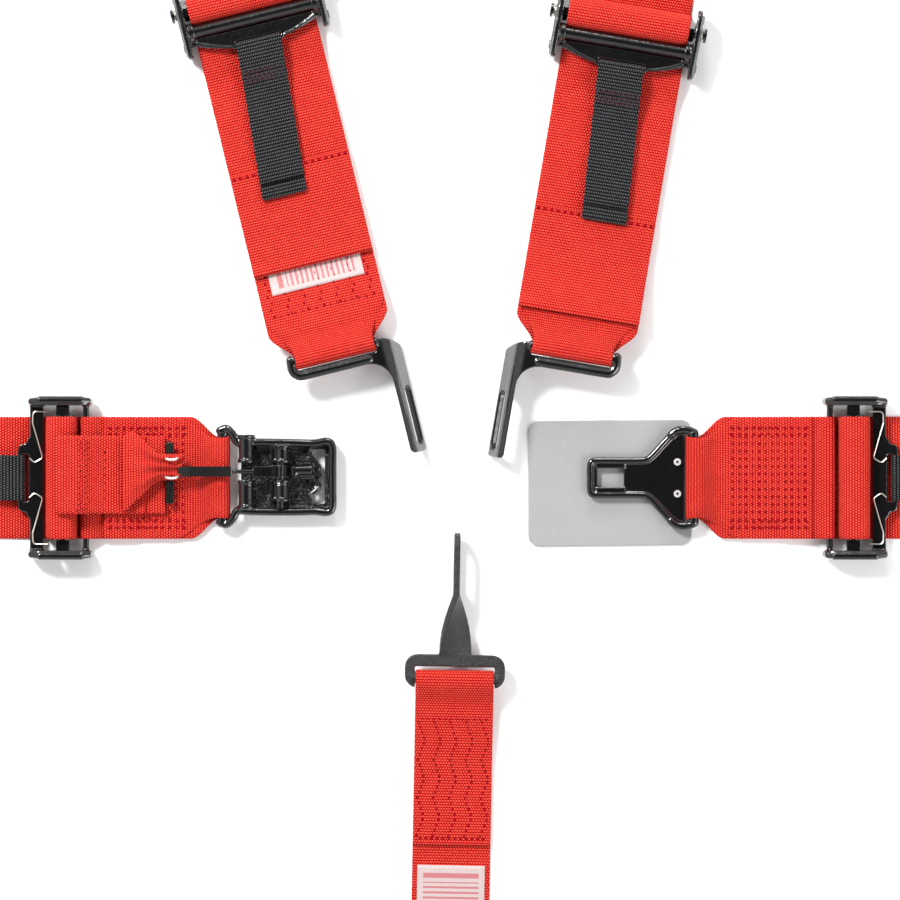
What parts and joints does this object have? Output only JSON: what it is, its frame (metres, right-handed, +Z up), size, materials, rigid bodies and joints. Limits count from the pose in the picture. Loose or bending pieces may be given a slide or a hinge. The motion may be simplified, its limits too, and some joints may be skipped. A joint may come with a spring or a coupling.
{
  "type": "racing harness",
  "caption": "Flat-laid latch and link racing harness: two lap belts, two shoulder belts and a crotch belt with adjusters, pull straps and anchor brackets.",
  "frame": {"origin": "on the floor plane, in the middle of the box that holds all five belts", "axes": "+Z up from the floor, +X towards the link side lap anchor, +Y towards the shoulder anchors"},
  "size_m": [1.2, 1.12, 0.022],
  "materials": {
    "red_webbing": "ribbed polyester webbing, slight sheen",
    "black_webbing": "coarse nylon webbing",
    "black_coat": "gloss black coating on steel",
    "satin_black": "fine textured black coating",
    "cast_black": "gloss black coating on rough cast steel",
    "spring_steel": "bare drawn wire",
    "nickel": "bright plated",
    "pad_grey": "smooth grey vinyl",
    "tie_black": "moulded nylon",
    "label_white": "woven label with red bars"
  },
  "bodies": {
    "latch_belt": {"lap_inner_strap_left": "red_webbing", "lap_outer_strap_left": "red_webbing", "lap_adjuster_left": "black_coat", "lap_wire_spring_left": "spring_steel"},
    "lap_bar_left": {"lap_slide_bar_left": "black_coat"},
    "lap_pull_left": {"lap_pull_strap_left": "black_webbing"},
    "lap_anchor_left": {"lap_anchor_left": "black_coat"},
    "link_belt": {"lap_inner_strap_right": "red_webbing", "lap_outer_strap_right": "red_webbing", "lap_adjuster_right": "black_coat", "lap_wire_spring_right": "spring_steel"},
    "lap_bar_right": {"lap_slide_bar_right": "black_coat"},
    "lap_pull_right": {"lap_pull_strap_right": "black_webbing"},
    "lap_anchor_right": {"lap_anchor_right": "black_coat"},
    "latch": {"latch_body": "cast_black", "latch_pivot_pin": "spring_steel", "latch_spring": "spring_steel"},
    "lever": {"latch_lever": "black_coat"},
    "release": {"release_strap": "red_webbing", "release_grommets": "nickel", "release_tie_across": "tie_black", "release_tie_along": "tie_black"},
    "link": {"link_plate": "black_coat", "link_rivets": "nickel", "buckle_pad": "pad_grey"},
    "shoulder_belt_left": {"shoulder_strap_lower_left": "red_webbing", "shoulder_strap_upper_left": "red_webbing", "shoulder_adjuster_left": "black_coat", "shoulder_fixed_bar_left": "black_coat", "shoulder_label": "label_white"},
    "shoulder_link_left": {"shoulder_link_left": "black_coat"},
    "shoulder_bar_left": {"shoulder_slide_bar_left": "black_coat", "shoulder_bar_screws_left": "black_coat", "shoulder_bar_nuts_left": "black_coat", "shoulder_bar_springs_left": "spring_steel"},
    "shoulder_pull_left": {"shoulder_pull_strap_left": "black_webbing"},
    "shoulder_anchor_left": {"shoulder_anchor_left": "black_coat"},
    "shoulder_belt_right": {"shoulder_strap_lower_right": "red_webbing", "shoulder_strap_upper_right": "red_webbing", "shoulder_adjuster_right": "black_coat", "shoulder_fixed_bar_right": "black_coat"},
    "shoulder_link_right": {"shoulder_link_right": "black_coat"},
    "shoulder_bar_right": {"shoulder_slide_bar_right": "black_coat", "shoulder_bar_screws_right": "black_coat", "shoulder_bar_nuts_right": "black_coat", "shoulder_bar_springs_right": "spring_steel"},
    "shoulder_pull_right": {"shoulder_pull_strap_right": "black_webbing"},
    "shoulder_anchor_right": {"shoulder_anchor_right": "black_coat"},
    "crotch_belt": {"crotch_strap": "red_webbing", "crotch_label": "label_white", "crotch_slide": "satin_black"},
    "crotch_link": {"crotch_link": "satin_black"},
    "crotch_anchor": {"crotch_anchor": "black_coat"}
  },
  "joints": [
    {"name": "link_belt_apart", "type": "slide", "parent": "latch_belt", "child": "link_belt", "axis": [1, 0, 0], "range_m": [0, 0.15]},
    {"name": "shoulder_belt_left_apart", "type": "slide", "parent": "latch_belt", "child": "shoulder_belt_left", "axis": [-0.2385, 0.9711, 0], "range_m": [0, 0.15]},
    {"name": "shoulder_belt_right_apart", "type": "slide", "parent": "latch_belt", "child": "shoulder_belt_right", "axis": [0.1685, 0.9857, 0], "range_m": [0, 0.15]},
    {"name": "crotch_belt_apart", "type": "slide", "parent": "latch_belt", "child": "crotch_belt", "axis": [-0.0192, -0.9998, 0], "range_m": [0, 0.15]},
    {"name": "latch_hinge", "type": "hinge", "parent": "latch_belt", "child": "latch", "pos_m": [-0.143, -0.0175, 0.0065], "axis": [0, -1, 0], "range_deg": [0, 60]},
    {"name": "lever_hinge", "type": "hinge", "parent": "latch", "child": "lever", "pos_m": [-0.1065, -0.0175, 0.0105], "axis": [0, 1, 0], "range_deg": [0, 100]},
    {"name": "release_hinge", "type": "hinge", "parent": "lever", "child": "release", "pos_m": [-0.136, -0.0175, 0.0142], "axis": [0, 1, 0], "range_deg": [0, 80]},
    {"name": "link_hinge", "type": "hinge", "parent": "link_belt", "child": "link", "pos_m": [0.153, -0.0175, 0.0065], "axis": [0, 1, 0], "range_deg": [0, 60]},
    {"name": "lap_bar_left_slide", "type": "slide", "parent": "latch_belt", "child": "lap_bar_left", "axis": [-1, 0, 0], "range_m": [0, 0.0025], "stiffness_N_per_m": 400},
    {"name": "lap_pull_left_hinge", "type": "hinge", "parent": "latch_belt", "child": "lap_pull_left", "pos_m": [-0.2704, -0.0175, 0.0048], "axis": [0, 1, 0], "range_deg": [0, 110]},
    {"name": "lap_anchor_left_hinge", "type": "hinge", "parent": "latch_belt", "child": "lap_anchor_left", "pos_m": [-0.546, -0.0175, 0.005], "axis": [0, 1, 0], "range_deg": [0, 60]},
    {"name": "shoulder_link_left_hinge", "type": "hinge", "parent": "shoulder_belt_left", "child": "shoulder_link_left", "pos_m": [-0.072, 0.061, 0.017], "axis": [-0.9711, -0.2385, 0], "range_deg": [0, 60]},
    {"name": "shoulder_bar_left_slide", "type": "slide", "parent": "shoulder_belt_left", "child": "shoulder_bar_left", "axis": [-0.2385, 0.9711, 0], "range_m": [0, 0.0025], "stiffness_N_per_m": 400},
    {"name": "shoulder_pull_left_hinge", "type": "hinge", "parent": "shoulder_belt_left", "child": "shoulder_pull_left", "pos_m": [-0.11983, 0.25571, 0.0124], "axis": [-0.9711, -0.2385, 0], "range_deg": [0, 110]},
    {"name": "shoulder_anchor_left_hinge", "type": "hinge", "parent": "shoulder_belt_left", "child": "shoulder_anchor_left", "pos_m": [-0.18154, 0.50698, 0.005], "axis": [0.9711, 0.2385, 0], "range_deg": [0, 60]},
    {"name": "lap_bar_right_slide", "type": "slide", "parent": "link_belt", "child": "lap_bar_right", "axis": [1, 0, 0], "range_m": [0, 0.0025], "stiffness_N_per_m": 400},
    {"name": "lap_pull_right_hinge", "type": "hinge", "parent": "link_belt", "child": "lap_pull_right", "pos_m": [0.2804, -0.0175, 0.0048], "axis": [0, -1, 0], "range_deg": [0, 110]},
    {"name": "lap_anchor_right_hinge", "type": "hinge", "parent": "link_belt", "child": "lap_anchor_right", "pos_m": [0.546, -0.0175, 0.005], "axis": [0, -1, 0], "range_deg": [0, 60]},
    {"name": "shoulder_link_right_hinge", "type": "hinge", "parent": "shoulder_belt_right", "child": "shoulder_link_right", "pos_m": [0.0765, 0.061, 0.017], "axis": [-0.9857, 0.1685, 0], "range_deg": [0, 60]},
    {"name": "shoulder_bar_right_slide", "type": "slide", "parent": "shoulder_belt_right", "child": "shoulder_bar_right", "axis": [0.1685, 0.9857, 0], "range_m": [0, 0.0025], "stiffness_N_per_m": 400},
    {"name": "shoulder_pull_right_hinge", "type": "hinge", "parent": "shoulder_belt_right", "child": "shoulder_pull_right", "pos_m": [0.10708, 0.23991, 0.0124], "axis": [-0.9857, 0.1685, 0], "range_deg": [0, 110]},
    {"name": "shoulder_anchor_right_hinge", "type": "hinge", "parent": "shoulder_belt_right", "child": "shoulder_anchor_right", "pos_m": [0.15265, 0.50649, 0.005], "axis": [0.9857, -0.1685, 0], "range_deg": [0, 60]},
    {"name": "crotch_link_hinge", "type": "hinge", "parent": "crotch_belt", "child": "crotch_link", "pos_m": [0.003, -0.143, 0.0104], "axis": [0.9998, -0.0192, 0], "range_deg": [0, 60]},
    {"name": "crotch_anchor_hinge", "type": "hinge", "parent": "crotch_belt", "child": "crotch_anchor", "pos_m": [-0.00397, -0.50601, 0.005], "axis": [-0.9998, 0.0192, 0], "range_deg": [0, 60]}
  ],
  "couplings": [
    {"joint": "release_hinge", "follows": "latch_hinge", "ratio": 1.25}
  ]
}
